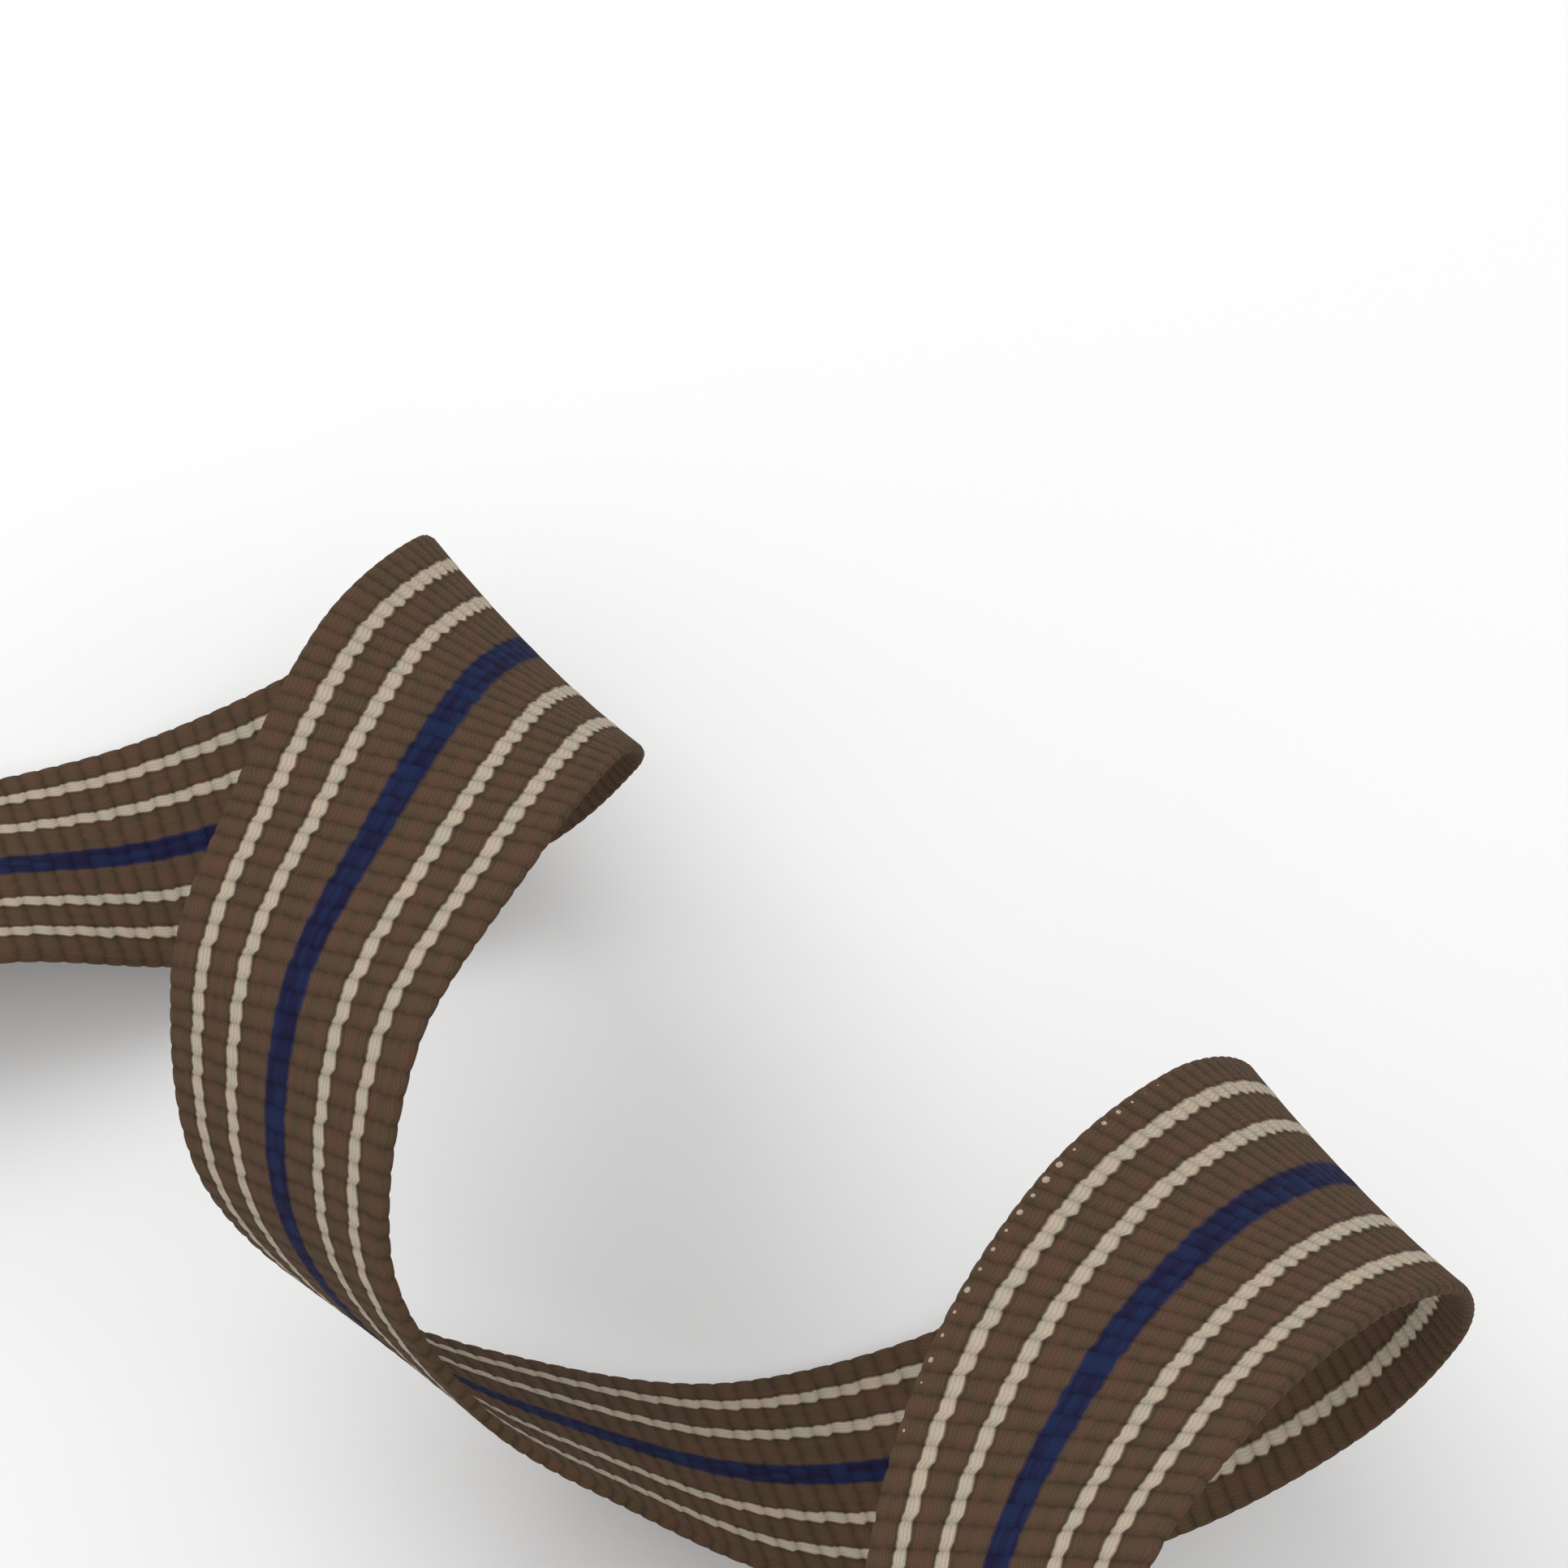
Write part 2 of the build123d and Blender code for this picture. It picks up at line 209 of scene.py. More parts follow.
# the cloth's middle line round the buckle bar, from the cut end of the tab to the first station;
# distances run out from the bar, away from the strap
def foldLine():
    radius, reach = course["wrapRadius"], course["foldReach"]
    bend, top = course["cornerRadius"], course["topHeight"]
    tabCount, turnCount, slopeCount, bendCount, topCount = course["foldCounts"]
    barX, barY, barHeight = course["buckleBar"]
    lean = 2 * atan((radius - course["halfCloth"]) / course["riseRun"])
    points = [(-reach + part * reach, course["tabHeight"]) for part in np.linspace(0, 1, tabCount)]
    turns = np.linspace(-pi / 2, pi / 2 + lean, turnCount)
    points += [(radius * cos(turn), barHeight + radius * sin(turn)) for turn in turns[1:]]
    # the sloping run meets the top layer in a wide bend
    last = points[-1]
    cornerOut = last[0] - (last[1] - top) / tan(lean)
    ease = bend * tan(lean / 2)
    slopeEnd = (cornerOut + ease * cos(lean), top + ease * sin(lean))
    points += [
        (last[0] + (slopeEnd[0] - last[0]) * part, last[1] + (slopeEnd[1] - last[1]) * part)
        for part in np.linspace(0, 1, slopeCount)[1:]
    ]
    points += [
        (cornerOut - ease + bend * sin(turn), top + bend * (1 - cos(turn)))
        for turn in np.linspace(lean, 0, bendCount)[1:]
    ]
    flatStart = points[-1][0]
    points += [(flatStart + (-reach - flatStart) * part, top) for part in np.linspace(0, 1, topCount)[1:-1]]
    return np.array([(barX - out, barY, height) for out, height in points])


# the fold, the course and the end inside the tip as one line, its ways across, and distances along it
def wholeCloth():
    middles, ways = smoothCourse()
    fold = foldLine()
    foldWays = np.tile(ways[0], (len(fold), 1))
    last = np.array(stations[-1][:3])
    lastWay = np.array(wayAcross(*stations[-1][3:]))
    onward = np.cross(lastWay, (0, 0, 1))
    inside = last + np.linspace(0, course["insideTip"], course["insideCount"])[:, None] * onward
    middle = np.vstack([fold, middles, inside])
    way = np.vstack([foldWays, ways, np.tile(lastWay, (len(inside), 1))])
    lengths = np.linalg.norm(np.diff(middle, axis=0), axis=1)
    keep = np.concatenate([[True], lengths > 1e-6])
    middle, way = middle[keep], way[keep]
    reach = np.concatenate([[0], np.cumsum(np.linalg.norm(np.diff(middle, axis=0), axis=1))])
    return middle, way, reach


clothMiddle, clothWay, clothReach = wholeCloth()
clothLength = float(clothReach[-1])


# middle, along, across and out of the cloth at given distances from the tab's cut end
def clothPlaces(distances):
    def look(values, places):
        return np.stack([np.interp(places, clothReach, values[:, axis]) for axis in range(3)], axis=1)

    middle = look(clothMiddle, distances)
    ahead = look(clothMiddle, np.minimum(distances + course["feeler"], clothLength))
    behind = look(clothMiddle, np.maximum(distances - course["feeler"], 0))
    along = ahead - behind
    along /= np.linalg.norm(along, axis=1)[:, None]
    across = look(clothWay, distances)
    across -= along * np.sum(across * along, axis=1)[:, None]
    across /= np.linalg.norm(across, axis=1)[:, None]
    return middle, along, across, np.cross(along, across)


print("cloth length", round(clothLength, 4))

# the striped webbing
webbing = {
    "width": 0.0508,
    "thickness": 0.0020,
    "ribPitch": 0.00336,
    "ribUneven": 0.045,        # every other rib is this much longer
    "ribSpread": 0.012,
    "grooveDepth": 0.00022,
    "scallopDepth": 0.00012,
    "stripeRise": 0.00006,
    "creamPlaces": (10.8, 18.8),    # millimetres either side of the middle, as are the columns
    "stripeSide": (0.7, 1.2),
    "ribParts": (0, 0.22, 0.5, 0.78),
    "columns": (
        24.4, 22.3, 20.1, 18.8, 17.5, 14.8, 12.1, 10.8, 9.5, 5.7, 1.9, 0,
        -1.9, -5.7, -9.5, -10.8, -12.1, -14.8, -17.5, -18.8, -20.1, -22.3, -24.4,
    ),
    "edgeTurns": (45, 0, -45),
}
random = np.random.default_rng(7)
ribCount = int(round(clothLength / webbing["ribPitch"]))
ribLengths = webbing["ribPitch"] * (1 + webbing["ribUneven"] * np.where(np.arange(ribCount) % 2, -1, 1))
ribLengths *= 1 + random.normal(0, webbing["ribSpread"], ribCount)
ribStarts = np.concatenate([[0], np.cumsum(ribLengths)])
ribStarts *= clothLength / ribStarts[-1]


def ribPlace(ribs):
    return np.interp(ribs, np.arange(ribCount + 1), ribStarts)


def setAttribute(mesh, name, kind, values):
    made = mesh.attributes.new(name, kind, "POINT")
    field = "vector" if kind == "FLOAT_VECTOR" else "value"
    made.data.foreach_set(field, np.ravel(values).astype(np.float32))


def meshFrom(name, points, faces):
    mesh = bpy.data.meshes.new(name)
    mesh.from_pydata([tuple(point) for point in points], [], faces)
    mesh.update()
    return mesh


def placeObject(name, mesh):
    made = bpy.data.objects.new(name, mesh)
    bpy.context.scene.collection.objects.link(made)
    return made


# rings of points round the band: each keeps its place in ribs and in millimetres across
def webbingMesh():
    half = webbing["thickness"] / 2
    edge = webbing["width"] / 2 - half
    section = [(column / 1000, 1, 0) for column in webbing["columns"]]
    section += [(-edge, sin(radians(turn)), -cos(radians(turn))) for turn in webbing["edgeTurns"]]
    section += [(column / 1000, -1, 0) for column in reversed(webbing["columns"])]
    section += [(edge, -sin(radians(turn)), cos(radians(turn))) for turn in webbing["edgeTurns"]]
    section = np.array(section)
    ribs = (np.arange(ribCount)[:, None] + np.array(webbing["ribParts"])).ravel()
    ribs = np.append(ribs, ribCount)
    middle, along, across, out = clothPlaces(ribPlace(ribs))
    ringSize = len(section)
    side, lift, push = section[:, 0], section[:, 1], section[:, 2]
    outward = across[:, None] * push[None, :, None] + out[:, None] * lift[None, :, None]
    points = middle[:, None] + across[:, None] * side[None, :, None] + outward * half
    faces = []
    for ring in range(len(ribs) - 1):
        start = ring * ringSize
        for index in range(ringSize):
            after = (index + 1) % ringSize
            faces.append((start + index, start + after, start + ringSize + after, start + ringSize + index))
    last = (len(ribs) - 1) * ringSize
    top, turns = len(webbing["columns"]), len(webbing["edgeTurns"])
    # each cut end is closed with quads from its upper to its under side, and one face at each selvedge
    for start, turned in ((0, False), (last, True)):
        underEnd = start + 2 * top + turns - 1
        ladder = [(start + index, underEnd - index) for index in range(top)]
        strips = [(a[0], b[0], b[1], a[1]) for a, b in zip(ladder, ladder[1:])]
        strips.append(tuple(start + top - 1 + index for index in range(turns + 2)))
        strips.append((*(underEnd + index for index in range(turns + 1)), start))
        faces += [face if turned else face[::-1] for face in strips]
    mesh = meshFrom("webbing", points.reshape(-1, 3), faces)
    count = len(ribs)
    setAttribute(mesh, "across", "FLOAT", np.tile((side + push * half) * 1000, count))
    setAttribute(mesh, "along", "FLOAT", np.repeat(ribs, ringSize))
    setAttribute(mesh, "face", "FLOAT", np.tile(lift, count))
    setAttribute(mesh, "outward", "FLOAT_VECTOR", outward.reshape(-1, 3))
    return mesh


# geometry trees
def geometryTree(name, inputs):
    tree = bpy.data.node_groups.new(name, "GeometryNodeTree")
    tree.interface.new_socket("Geometry", in_out="INPUT", socket_type="NodeSocketGeometry")
    for label, kind, value in inputs:
        tree.interface.new_socket(label, in_out="INPUT", socket_type=kind).default_value = value
    tree.interface.new_socket("Geometry", in_out="OUTPUT", socket_type="NodeSocketGeometry")
    start = tree.nodes.new("NodeGroupInput")
    tree.nodes.new("NodeGroupOutput")
    return tree, {socket.name: Wire(tree, socket) for socket in start.outputs if socket.name}


def finishTree(tree, geometry, material):
    geometry = geometry.add("GeometryNodeRealizeInstances", {}, {"Geometry": geometry})
    geometry = geometry.add("GeometryNodeSetMaterial", {}, {"Geometry": geometry, "Material": material})
    end = next(node for node in tree.nodes if node.bl_idname == "NodeGroupOutput")
    tree.links.new(geometry.socket, end.inputs[0])
    return tree


def namedValue(wire, name, kind="FLOAT"):
    return wire.add("GeometryNodeInputNamedAttribute", {"data_type": kind}, {"Name": name})


# gives the band its crosswise ribs, scalloped selvedges and raised stripes
def ribTree(material):
    tree, given = geometryTree("ribs", [
        ("Groove Depth", "NodeSocketFloat", webbing["grooveDepth"]),
        ("Scallop Depth", "NodeSocketFloat", webbing["scallopDepth"]),
        ("Stripe Rise", "NodeSocketFloat", webbing["stripeRise"]),
    ])
    start = given["Geometry"]
    along = namedValue(start, "along")
    across = namedValue(start, "across")
    face = namedValue(start, "face").size()
    outward = namedValue(start, "outward", "FLOAT_VECTOR")
    groove = (along.part() * 2 - 1).size() ** 3
    depth = face * given["Groove Depth"] + (1 - face) * given["Scallop Depth"]
    reach = across.size()
    inner, outer = webbing["creamPlaces"]
    stripe = (reach - inner).size().smaller((reach - outer).size()).smaller(reach)
    raised = given["Stripe Rise"] * (1 - stripe.rise(*webbing["stripeSide"])) * face
    offset = start.add(
        "ShaderNodeVectorMath", {"operation": "SCALE"}, {"Vector": outward, "Scale": raised - groove * depth}
    )
    moved = start.add("GeometryNodeSetPosition", {}, {"Geometry": start, "Offset": offset})
    return finishTree(tree, moved, material)


# puts one small bead of thread on every point, turned along its seam
def beadTree(name, bead):
    tree, given = geometryTree(name, [
        ("Length", "NodeSocketFloat", bead["length"]),
        ("Width", "NodeSocketFloat", bead["width"]),
        ("Height", "NodeSocketFloat", bead["height"]),
        ("Uneven", "NodeSocketFloat", bead["uneven"]),
        ("Seed", "NodeSocketInt", bead["seed"]),
    ])
    start = given["Geometry"]
    ball = start.add("GeometryNodeMeshUVSphere", {}, {"Segments": 10, "Rings": 6, "Radius": 0.5})
    size = start.add(
        "ShaderNodeCombineXYZ", {}, {"X": given["Length"], "Y": given["Width"], "Z": given["Height"]}
    )
    ball = start.add("GeometryNodeTransform", {}, {"Geometry": ball, "Scale": size})
    turn = start.add(
        "FunctionNodeAlignEulerToVector", {"axis": "X"}, {"Vector": namedValue(start, "way", "FLOAT_VECTOR")}
    )
    turn = start.add(
        "FunctionNodeAlignEulerToVector",
        {"axis": "Z", "pivot_axis": "X"},
        {"Rotation": turn, "Vector": namedValue(start, "outward", "FLOAT_VECTOR")},
    )
    chance = start.add(
        "FunctionNodeRandomValue",
        {"data_type": "FLOAT"},
        {"Seed": given["Seed"], 2: 1 - given["Uneven"], 3: 1 + given["Uneven"]},
        1,
    )
    placed = start.add(
        "GeometryNodeInstanceOnPoints",
        {},
        {"Points": start, "Instance": ball, "Rotation": turn, "Scale": chance * namedValue(start, "size")},
    )
    return finishTree(tree, placed, threadFinish)


# runs the tree on a piece, turns the result into a plain mesh and drops the modifier
def applyTree(piece, tree):
    modifier = piece.modifiers.new(tree.name, "NODES")
    modifier.node_group = tree
    bpy.context.view_layer.update()
    shown = piece.evaluated_get(bpy.context.evaluated_depsgraph_get())
    mesh = bpy.data.meshes.new_from_object(shown)
    mesh.name = piece.name
    piece.modifiers.remove(modifier)
    piece.data = mesh


def smoothShade(piece, angle=None):
    mesh = piece.data
    mesh.polygons.foreach_set("use_smooth", [True] * len(mesh.polygons))
    if angle is not None:
        mesh.set_sharp_from_angle(angle=radians(angle))
    mesh.update()


# materials
def newMaterial(name):
    material = bpy.data.materials.new(name)
    material.use_nodes = True
    tree = material.node_tree
    tree.nodes.clear()
    return material, Wire(tree)


def finishMaterial(wire, sockets):
    shader = wire.add("ShaderNodeBsdfPrincipled", {}, sockets)
    wire.add("ShaderNodeOutputMaterial", {}, {"Surface": shader})


def bumped(wire, height, distance, strength):
    return wire.add("ShaderNodeBump", {}, {"Height": height, "Distance": distance, "Strength": strength})


# place on the piece, in its own metres
def ownPlace(wire):
    return wire.add("ShaderNodeTexCoord", {}, {}, "Object")


def solid(colour):
    return (*colour, 1)


# the woven cotton; stripe places and widths are in millimetres
cotton = {
    "redBrown": (0.090, 0.0495, 0.0320),
    "greenBrown": (0.0745, 0.0505, 0.0292),
    "cream": (0.415, 0.335, 0.260),
    "creamGrey": (0.374, 0.334, 0.256),
    "blue": (0.0112, 0.0185, 0.0560),
    "blueDeep": (0.0118, 0.0100, 0.0360),
    "creamPlaces": (10.3, 18.5),
    "creamHalf": 1.20,
    "creamSoft": 0.32,
    "blueHalf": 2.45,
    "blueSoft": (-0.5, 0.45),
    "blueSway": 0.6,            # share of the slant and wander that the blue stripe takes
    "neck": 0.22,               # how much narrower a cream stripe is in the grooves
    "ribSlant": 0.52,           # how far stripes slant over one rib, and over a pair of ribs
    "pairSlant": 0.42,
    "slantMiddle": 0.33,
    "ribBack": 0.62,            # part of the rib, or of the pair, where the slant starts to go back
    "pairBack": 0.78,
    "wander": 0.35,
    "wanderScale": 0.45,
    "yarnWidth": 0.72,
    "fibreScale": 3.0,
    "tintRun": (0.55, 1.7),     # how fast the dye changes across the cloth and from rib to rib
    "tintRange": (0.38, 0.62),
    "paintedRibTopLight": 1.085,              # painted light on top of a rib, then the painted shade that takes from it
    # painted shade in the grooves between ribs, more where the tint runs high, less on the cream stripes
    "grooveShade": 0.27,
    "grooveTintShade": 0.18,
    "creamShadeCut": 0.2,
    # painted shade in the gaps between warp yarns
    "yarnShade": 0.06,
    # a painted dark band of shade just outside each cream stripe: its place, softness and strength
    "besidePlace": 0.45,
    "besideSoft": (0.1, 0.6),
    "besideShade": 0.20,
    "fibreShade": 0.42,
    "bump": 0.00022,
}


def stripedCotton():
    material, wire = newMaterial("stripedCotton")
    across = wire.add("ShaderNodeAttribute", {"attribute_name": "across"}, {}, "Fac")
    along = wire.add("ShaderNodeAttribute", {"attribute_name": "along"}, {}, "Fac")
    rib = along.part()
    pair = (along * 0.5).part()
    groove = (rib * 2 - 1).size()
    place = wire.add("ShaderNodeCombineXYZ", {}, {"X": across, "Y": along * (webbing["ribPitch"] * 1000)})
    wander = place.noise(cotton["wanderScale"], 1.0) - 0.5
    fibre = place.noise(cotton["fibreScale"], 4.0)
    # stripes slant over each rib and come back at its end
    ribSlant = rib - rib.rise(cotton["ribBack"], 1.0)
    pairSlant = pair - pair.rise(cotton["pairBack"], 1.0)
    slant = ribSlant * cotton["ribSlant"] + pairSlant * cotton["pairSlant"] - cotton["slantMiddle"]
    moved = across + slant + wander * cotton["wander"]
    reach = moved.size()
    inner, outer = cotton["creamPlaces"]
    creamGap = (reach - inner).size().smaller((reach - outer).size())
    pastCream = creamGap - (1 - groove ** 3 * cotton["neck"]) * cotton["creamHalf"]
    cream = 1 - pastCream.rise(-cotton["creamSoft"], cotton["creamSoft"])
    # painted shade: a dark band just outside each cream stripe, beside the raised stripe
    paintedShadeBeside = 1 - (pastCream - cotton["besidePlace"]).size().rise(*cotton["besideSoft"])
    blueReach = (across + (slant + wander) * cotton["blueSway"]).size()
    blue = 1 - (blueReach - cotton["blueHalf"]).rise(*cotton["blueSoft"])
    # warp yarns stand side by side, and swap from rib to rib
    yarn = (moved / cotton["yarnWidth"] + along.whole() * 0.5).part()
    yarnGap = (yarn * 2 - 1).size() ** 4
    # threads dyed a little redder or greener, in short runs
    sideRun, ribRun = cotton["tintRun"]
    run = wire.add("ShaderNodeCombineXYZ", {}, {"X": across * sideRun, "Y": along.whole() * ribRun})
    tint = run.noise(1.0, 1.0).rise(*cotton["tintRange"])
    body = tint.mix(solid(cotton["redBrown"]), solid(cotton["greenBrown"]))
    colour = cream.mix(body, tint.mix(solid(cotton["cream"]), solid(cotton["creamGrey"])))
    colour = blue.mix(colour, tint.mix(solid(cotton["blue"]), solid(cotton["blueDeep"])))
    # painted shade: darker in the rib grooves, in the gaps between warp yarns and beside the cream stripes,
    # under a painted light on the rib tops; the fibre noise is the cloth's own tone
    depth = (tint * cotton["grooveTintShade"] + cotton["grooveShade"]) * (1 - cream * cotton["creamShadeCut"])
    paintedShadeAndFibreTone = cotton["paintedRibTopLight"] - groove ** 2.5 * depth - yarnGap * cotton["yarnShade"]
    paintedShadeAndFibreTone = paintedShadeAndFibreTone - paintedShadeBeside * cotton["besideShade"] + (fibre - 0.5) * cotton["fibreShade"]
    # the painted shade and fibre tone as a grey that darkens the dye colours
    grey = wire.add("ShaderNodeCombineColor", {}, {0: paintedShadeAndFibreTone, 1: paintedShadeAndFibreTone, 2: paintedShadeAndFibreTone})
    colour = wire.add(
        "ShaderNodeMix", {"data_type": "RGBA", "blend_type": "MULTIPLY"}, {0: 1.0, 6: colour, 7: grey}, 2
    )
    height = (1 - yarnGap) * 0.5 + fibre * 0.6
    finishMaterial(wire, {
        "Base Color": colour,
        "Roughness": fibre * 0.1 + 0.84,
        "Normal": bumped(wire, height, cotton["bump"], 0.8),
        "Specular IOR Level": 0.05,
        "Sheen Weight": 0.01,
        "Sheen Roughness": 0.5,
    })
    return material


thread = {"colour": (0.47, 0.385, 0.31), "shadow": (0.30, 0.245, 0.19), "twist": 1500, "bump": 0.0001}


def twistedThread():
    material, wire = newMaterial("creamThread")
    wave = wire.add(
        "ShaderNodeTexWave",
        {"bands_direction": "DIAGONAL"},
        {"Vector": ownPlace(wire), "Scale": thread["twist"], "Distortion": 1.5, "Detail": 1.0},
        "Fac",
    )
    finishMaterial(wire, {
        "Base Color": wave.mix(solid(thread["shadow"]), solid(thread["colour"])),
        "Roughness": wave * 0.1 + 0.75,
        "Normal": bumped(wire, wave, thread["bump"], 0.6),
        "Specular IOR Level": 0.25,
    })
    return material


nickel = {
    "bright": (0.64, 0.61, 0.565),
    "dull": (0.55, 0.525, 0.485),
    "roughness": (0.16, 0.34),
    "cloudScale": 110.0,
    "wornRange": (0.42, 0.72),
    "brushing": (500, 5000, 5000),
    "bump": 0.00003,
}


def platedNickel():
    material, wire = newMaterial("platedNickel")
    place = ownPlace(wire)
    cloud = place.noise(nickel["cloudScale"], 4.0)
    stretched = wire.add("ShaderNodeVectorMath", {"operation": "MULTIPLY"}, {0: place, 1: nickel["brushing"]})
    grain = stretched.noise(1.0, 3.0)
    worn = cloud.rise(*nickel["wornRange"])
    low, high = nickel["roughness"]
    finishMaterial(wire, {
        "Base Color": worn.mix(solid(nickel["bright"]), solid(nickel["dull"])),
        "Metallic": 1.0,
        "Roughness": worn * (high - low) + grain * 0.08 + (low - 0.04),
        "Normal": bumped(wire, grain * 0.5 + cloud * 0.5, nickel["bump"], 0.5),
    })
    return material


spring = {
    "wire": 0.00035,
    "radius": 0.0021,
    "turns": 4.25,
    "perTurn": 24,
    "pitch": 0.0011,
    "leg": 0.0024,
    "legParts": (0.25, 0.6, 1),
    "dark": (0.20, 0.19, 0.18),
    "light": (0.34, 0.33, 0.32),
    "cloudScale": 900.0,
}


def springWire():
    material, wire = newMaterial("springWire")
    cloud = ownPlace(wire).noise(spring["cloudScale"], 3.0)
    finishMaterial(wire, {
        "Base Color": cloud.mix(solid(spring["dark"]), solid(spring["light"])),
        "Metallic": 1.0,
        "Roughness": cloud * 0.2 + 0.25,
    })
    return material


label = {
    "length": 0.017,
    "width": 0.034,
    "thickness": 0.0004,
    "sheet": 0.00025,
    "cells": (20, 36),
    "hem": 0.0011,
    "hemRise": 0.00012,
    "lift": 0.0002,
    "wave": 0.00008,
    "waves": (9, 17),           # radians over the patch, across and down
    "seamShort": 0.0008,
    "seamInset": 0.002,
    "grey": (0.70, 0.69, 0.65),
    "white": (0.78, 0.77, 0.74),
    "threads": (3300, 2600),    # to the metre, along and across
    "cloudScale": 120.0,
    "bump": 0.00008,
}


def wovenLabel():
    material, wire = newMaterial("wovenLabel")
    place = ownPlace(wire)
    warp, weft = (
        ((wire.add("ShaderNodeSeparateXYZ", {}, {"Vector": place}, axis) * count).part() - 0.5).size()
        for axis, count in zip("XY", label["threads"])
    )
    threads = warp + weft
    cloud = place.noise(label["cloudScale"], 2.0)
    finishMaterial(wire, {
        "Base Color": cloud.mix(solid(label["grey"]), solid(label["white"])),
        "Roughness": threads * 0.2 + 0.45,
        "Normal": bumped(wire, threads, label["bump"], 0.7),
        "Sheen Weight": 0.2,
    })
    return material


def paleFloor():
    material, wire = newMaterial("paleFloor")
    finishMaterial(wire, {"Base Color": (0.86, 0.86, 0.86, 1), "Roughness": 0.9, "Specular IOR Level": 0.1})
    return material


clothFinish = stripedCotton()
threadFinish = twistedThread()
nickelFinish = platedNickel()
springFinish = springWire()
labelFinish = wovenLabel()
print("materials made")

# webbing piece
belt = placeObject("striped_webbing", webbingMesh())
applyTree(belt, ribTree(clothFinish))
smoothShade(belt)
strapNodes = [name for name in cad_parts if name.startswith("strap_")]
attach(belt, "strap")
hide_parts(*strapNodes)
print("webbing faces", len(belt.data.polygons), "ribs", ribCount)


# points with a way along and a way out, one for each bead of thread
def seamPoints(name, points, ways, outs, sizes=None):
    mesh = meshFrom(name, points, [])
    setAttribute(mesh, "size", "FLOAT", np.ones(len(points)) if sizes is None else sizes)
    setAttribute(mesh, "way", "FLOAT_VECTOR", ways)
    setAttribute(mesh, "outward", "FLOAT_VECTOR", outs)
    return placeObject(name, mesh)


# marker thread showing at one selvedge, on the back face, more in some places than in others
marker = {
    "edge": 0.0239,
    "length": 0.0014,
    "width": 0.0011,
    "height": 0.0006,
    "uneven": 0.22,
    "seed": 11,
    "lift": 0.00078,
    "slant": 0.15,
    "missing": 0.05,           # share of the ribs with no knot
    "smallest": 0.15,
    "bareRibs": (2, 6),        # at the tab's cut end and inside the tip
    "stations": (0, 12, 14, 15, 16, 18, 23, 24, 25, 26, 27, 40),
    "sizes": (0.6, 0.3, 0.0, 0.42, 0.42, 0.2, 0.3, 0.5, 1.05, 0.8, 0.35, 0.6),
}


# distance along the cloth of one of the course's stations
def clothReachOf(station):
    return clothReach[np.argmin(np.linalg.norm(clothMiddle - np.array(stations[station][:3]), axis=1))]


firstBare, lastBare = marker["bareRibs"]
markRibs = np.arange(firstBare, ribCount - lastBare) + 0.5
middle, along, across, out = clothPlaces(ribPlace(markRibs))
markReaches = [clothReachOf(station) for station in marker["stations"]]
sizes = np.interp(ribPlace(markRibs), markReaches, marker["sizes"])
kept = (random.random(len(markRibs)) > marker["missing"]) & (sizes > marker["smallest"])
spots = middle + across * marker["edge"] - out * marker["lift"]
slant = along - across * marker["slant"]
dots = seamPoints("marker_thread", spots[kept], slant[kept], -out[kept], sizes[kept])
applyTree(dots, beadTree("markerThread", marker))
smoothShade(dots)
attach(dots, "strap")

# box stitching through both layers at the buckle end
sewing = {
    "near": 0.023,
    "far": 0.047,
    "half": 0.021,
    "sideHalf": 0.0225,
    "pitch": 0.0035,
    "length": 0.0030,
    "width": 0.0009,
    "height": 0.0006,
    "uneven": 0.06,
    "seed": 5,
    "top": 0.0044,
    "under": 0.0004,
    "proud": 0.0001,
}


# stitches from start to end, each a spot and a way; both are distances from the bar and across the strap
def seamRun(start, end):
    run = (end[0] - start[0], end[1] - start[1])
    length = hypot(*run)
    count = round(length / sewing["pitch"])
    way = (run[0] / length, run[1] / length)
    parts = [(index + 0.5) / count for index in range(count)]
    return [((start[0] + run[0] * part, start[1] + run[1] * part), way) for part in parts]


def boxRuns():
    near, far, half, side = sewing["near"], sewing["far"], sewing["half"], sewing["sideHalf"]
    return [
        ((near, -half), (near, half)),
        ((far, -half), (far, half)),
        ((far, side), (near, side)),
        ((far, -side), (near, -side)),
    ]


def sewnSeam(name, runs, height, up):
    bar = course["buckleBar"]
    found = [spot for run in runs for spot in seamRun(*run)]
    points = [(bar[0] + spot[0], bar[1] - spot[1], height) for spot, way in found]
    ways = [(way[0], -way[1], 0) for spot, way in found]
    outs = [(0, 0, up)] * len(found)
    seam = seamPoints(name, points, ways, outs)
    applyTree(seam, beadTree(name, sewing))
    smoothShade(seam)
    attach(seam, "strap")
    return seam


boxTop = sewnSeam("box_seam_top", boxRuns(), sewing["top"] + sewing["proud"], 1)
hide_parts("box_stitch_top")
boxUnder = sewnSeam("box_seam_under", boxRuns(), sewing["under"] - sewing["proud"], -1)
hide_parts("box_stitch_under")
labelMiddle = (sewing["near"] + sewing["far"]) / 2
seamHalf = label["length"] / 2 - label["seamShort"]
seamSide = label["width"] / 2 - label["seamInset"]
labelRuns = [
    ((labelMiddle - seamHalf, side), (labelMiddle + seamHalf, side))
    for side in (-seamSide, seamSide)
]
labelSeam = sewnSeam("label_seam", labelRuns, sewing["top"] + label["thickness"] + sewing["proud"], 1)
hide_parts("label_stitch")


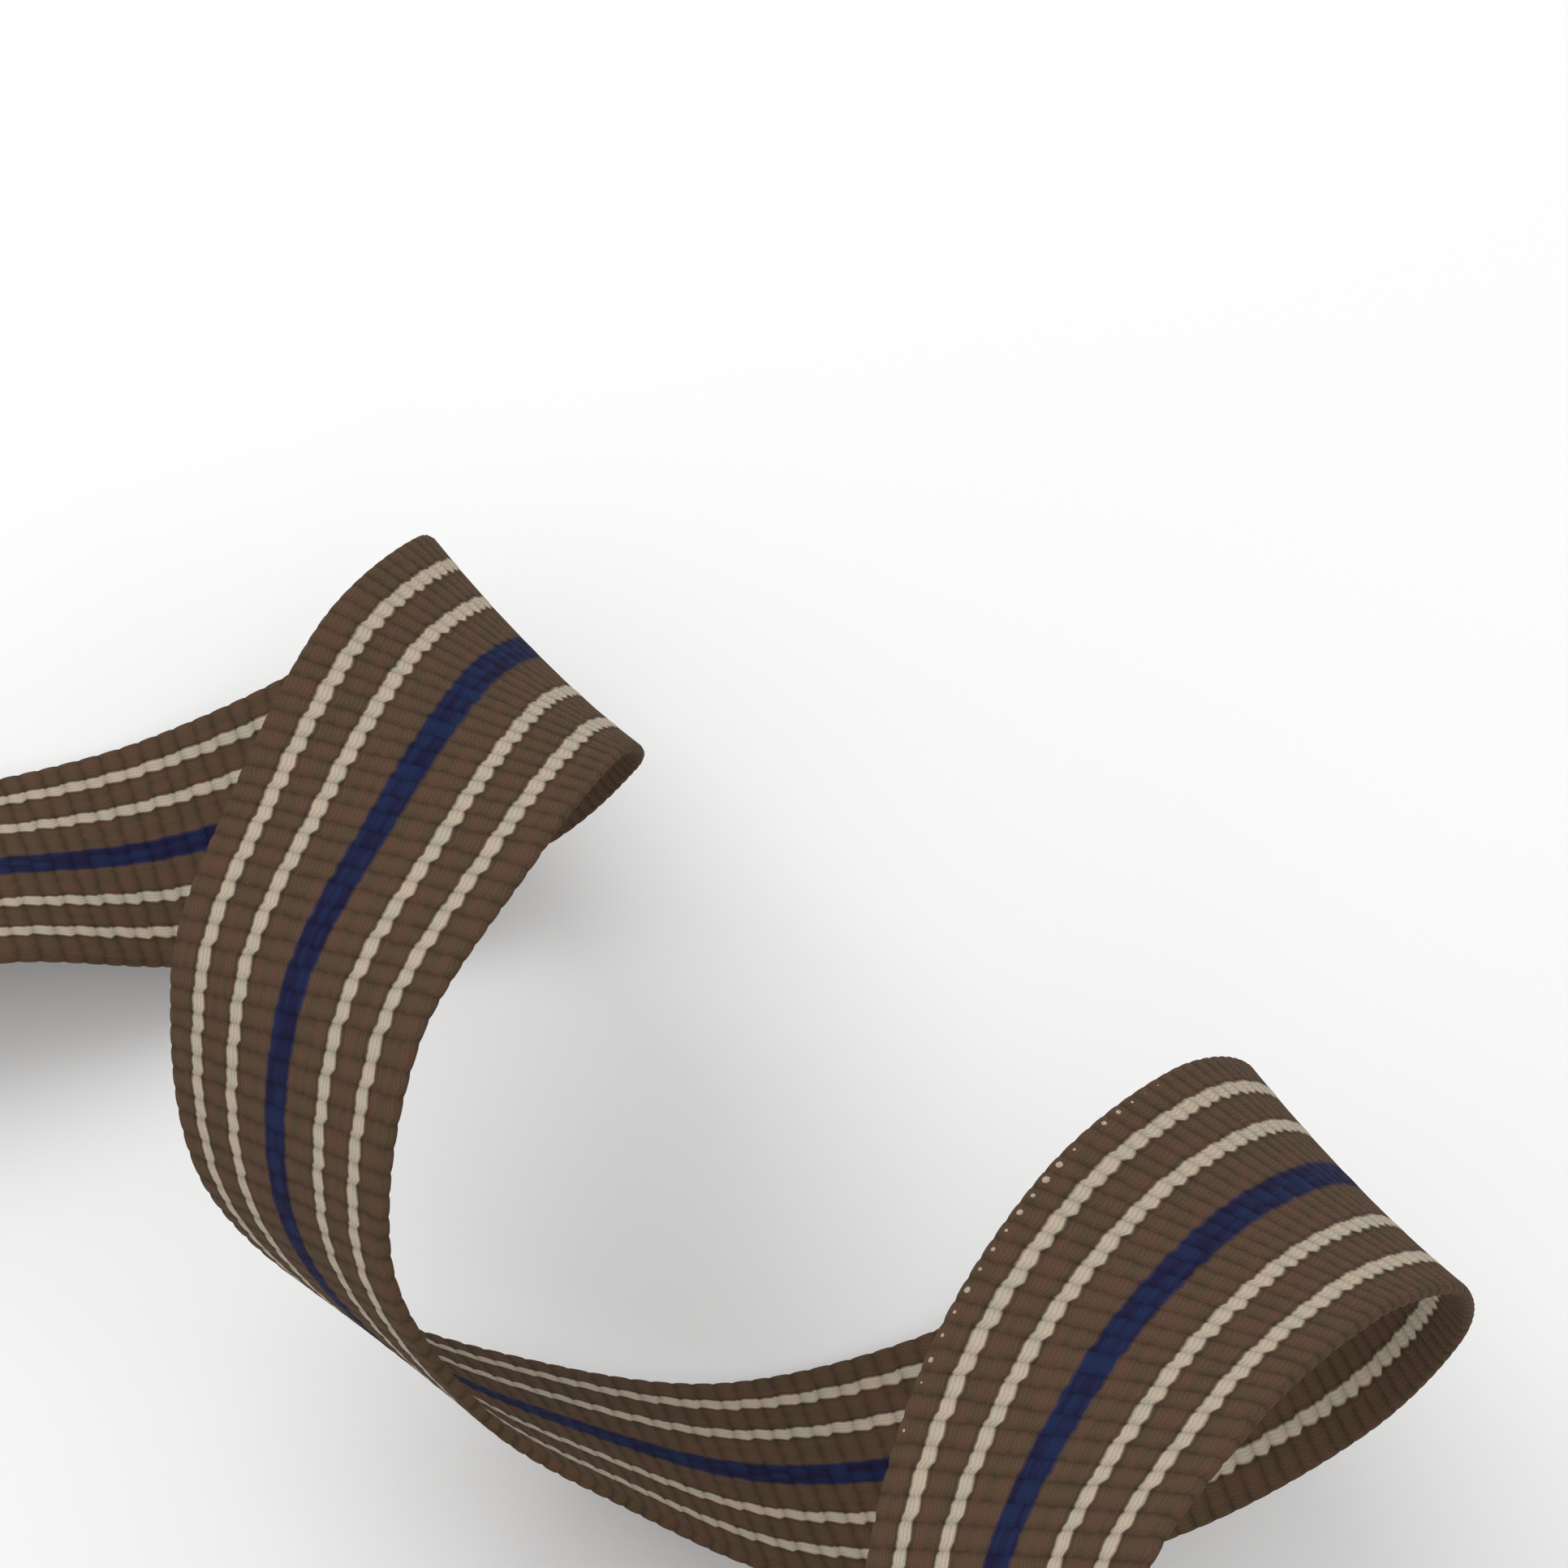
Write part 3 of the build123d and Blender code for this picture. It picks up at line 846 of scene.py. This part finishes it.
# blank care label, a thin woven patch with turned hems
def labelMesh():
    low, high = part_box("care_label")
    rows, columns = label["cells"]
    waveAcross, waveDown = label["waves"]
    points, faces = [], []
    for row in range(rows + 1):
        for column in range(columns + 1):
            across, down = row / rows, column / columns
            hemmed = min(down, 1 - down) * label["width"] < label["hem"] * 2
            wave = label["wave"] * sin(down * waveDown) * sin(across * waveAcross + 1)
            height = low.z + label["lift"] + (label["hemRise"] if hemmed else 0) + wave
            points.append((low.x + (high.x - low.x) * across, low.y + (high.y - low.y) * down, height))
    for row in range(rows):
        for column in range(columns):
            start = row * (columns + 1) + column
            faces.append((start, start + columns + 1, start + columns + 2, start + 1))
    return meshFrom("blank_label", points, faces)


patch = placeObject("blank_label", labelMesh())
thickness = patch.modifiers.new("thickness", "SOLIDIFY")
thickness.thickness = label["sheet"]
thickness.offset = 0
patch.data.materials.append(labelFinish)
smoothShade(patch, 40)
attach(patch, "strap")
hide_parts("care_label")


# torsion spring round the cam pin, with its two legs
def springPath():
    low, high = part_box("cam_spring")
    centre = (low + high) / 2
    radius, perTurn = spring["radius"], spring["perTurn"]
    points = []
    count = int(spring["turns"] * perTurn)
    length = spring["turns"] * spring["pitch"]
    for index in range(count + 1):
        turn = index / perTurn * 2 * pi
        side = (index / count - 0.5) * length
        points.append(centre + Vector((radius * cos(turn), side, radius * sin(turn))))
    first = (points[0] - points[1]).normalized() * spring["leg"]
    final = (points[-1] - points[-2]).normalized() * spring["leg"]
    before = [points[0] + first * part for part in reversed(spring["legParts"])]
    after = [points[-1] + final * part for part in spring["legParts"]]
    return before + points + after


# a round wire along the points, closed at both ends
def tubePiece(name, points, radius):
    curve = bpy.data.curves.new(name, "CURVE")
    curve.dimensions = "3D"
    spline = curve.splines.new("POLY")
    spline.points.add(len(points) - 1)
    for place, point in zip(spline.points, points):
        place.co = (*point, 1)
    curve.bevel_depth = radius
    curve.bevel_resolution = 3
    curve.use_fill_caps = True
    drawn = placeObject(name + "_curve", curve)
    bpy.context.view_layer.update()
    mesh = bpy.data.meshes.new_from_object(drawn.evaluated_get(bpy.context.evaluated_depsgraph_get()))
    bpy.data.objects.remove(drawn)
    shape = bmesh.new()
    shape.from_mesh(mesh)
    bmesh.ops.remove_doubles(shape, verts=shape.verts, dist=1e-6)
    bmesh.ops.recalc_face_normals(shape, faces=shape.faces)
    shape.to_mesh(mesh)
    shape.free()
    mesh.name = name
    return placeObject(name, mesh)


coil = tubePiece("torsion_spring", springPath(), spring["wire"])
coil.data.materials.append(springFinish)
smoothShade(coil, 50)
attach(coil, "buckle")
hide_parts("cam_spring")

# metal parts keep their own shape and get the plated finish
for name in ("buckle_frame", "web_bar", "toothed_cam", "cam_pin", "belt_tip", "tip_rivets"):
    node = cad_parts[name]
    node.data.materials.clear()
    node.data.materials.append(nickelFinish)

print("belt pieces placed")

# table, light and camera
stage = {
    "half": 30.0,
    "keyPlace": (-0.5, 0.7, 1.5),
    "keySize": 1.2,
    "keyPower": 11,
    "fillPlace": (0.9, -0.9, 1.2),
    "fillSize": 1.6,
    "fillPower": 3,
    "aim": (0.1, 0, 0),
    "air": 0.85,
}
half = stage["half"]
corners = [(-half, -half, 0), (half, -half, 0), (half, half, 0), (-half, half, 0)]
floor = placeObject("floor", meshFrom("floor", corners, [(0, 1, 2, 3)]))
floor.data.materials.append(paleFloor())


def softLight(name, place, size, power):
    lamp = bpy.data.lights.new(name, "AREA")
    lamp.size = size
    lamp.energy = power
    made = placeObject(name, lamp)
    made.location = place
    made.rotation_euler = (Vector(stage["aim"]) - Vector(place)).to_track_quat("-Z", "Y").to_euler()


softLight("keyLight", stage["keyPlace"], stage["keySize"], stage["keyPower"])
softLight("fillLight", stage["fillPlace"], stage["fillSize"], stage["fillPower"])
world = bpy.data.worlds.new("studio")
world.use_nodes = True
background = world.node_tree.nodes["Background"].inputs
background["Color"].default_value = (1, 1, 1, 1)
background["Strength"].default_value = stage["air"]
bpy.context.scene.world = world
bpy.context.scene.view_settings.view_transform = "Standard"    # keeps the cloth colours as they are

view = {"place": (0.1838, -0.1516, 0.6349), "tip": 25, "lens": 93.17, "sensor": 36}
lens = bpy.data.cameras.new("camera")
lens.lens = view["lens"]
lens.sensor_width = view["sensor"]
camera = placeObject("camera", lens)
camera.location = view["place"]
camera.rotation_euler = (radians(view["tip"]), 0, 0)
bpy.context.scene.camera = camera

print("scene ready")
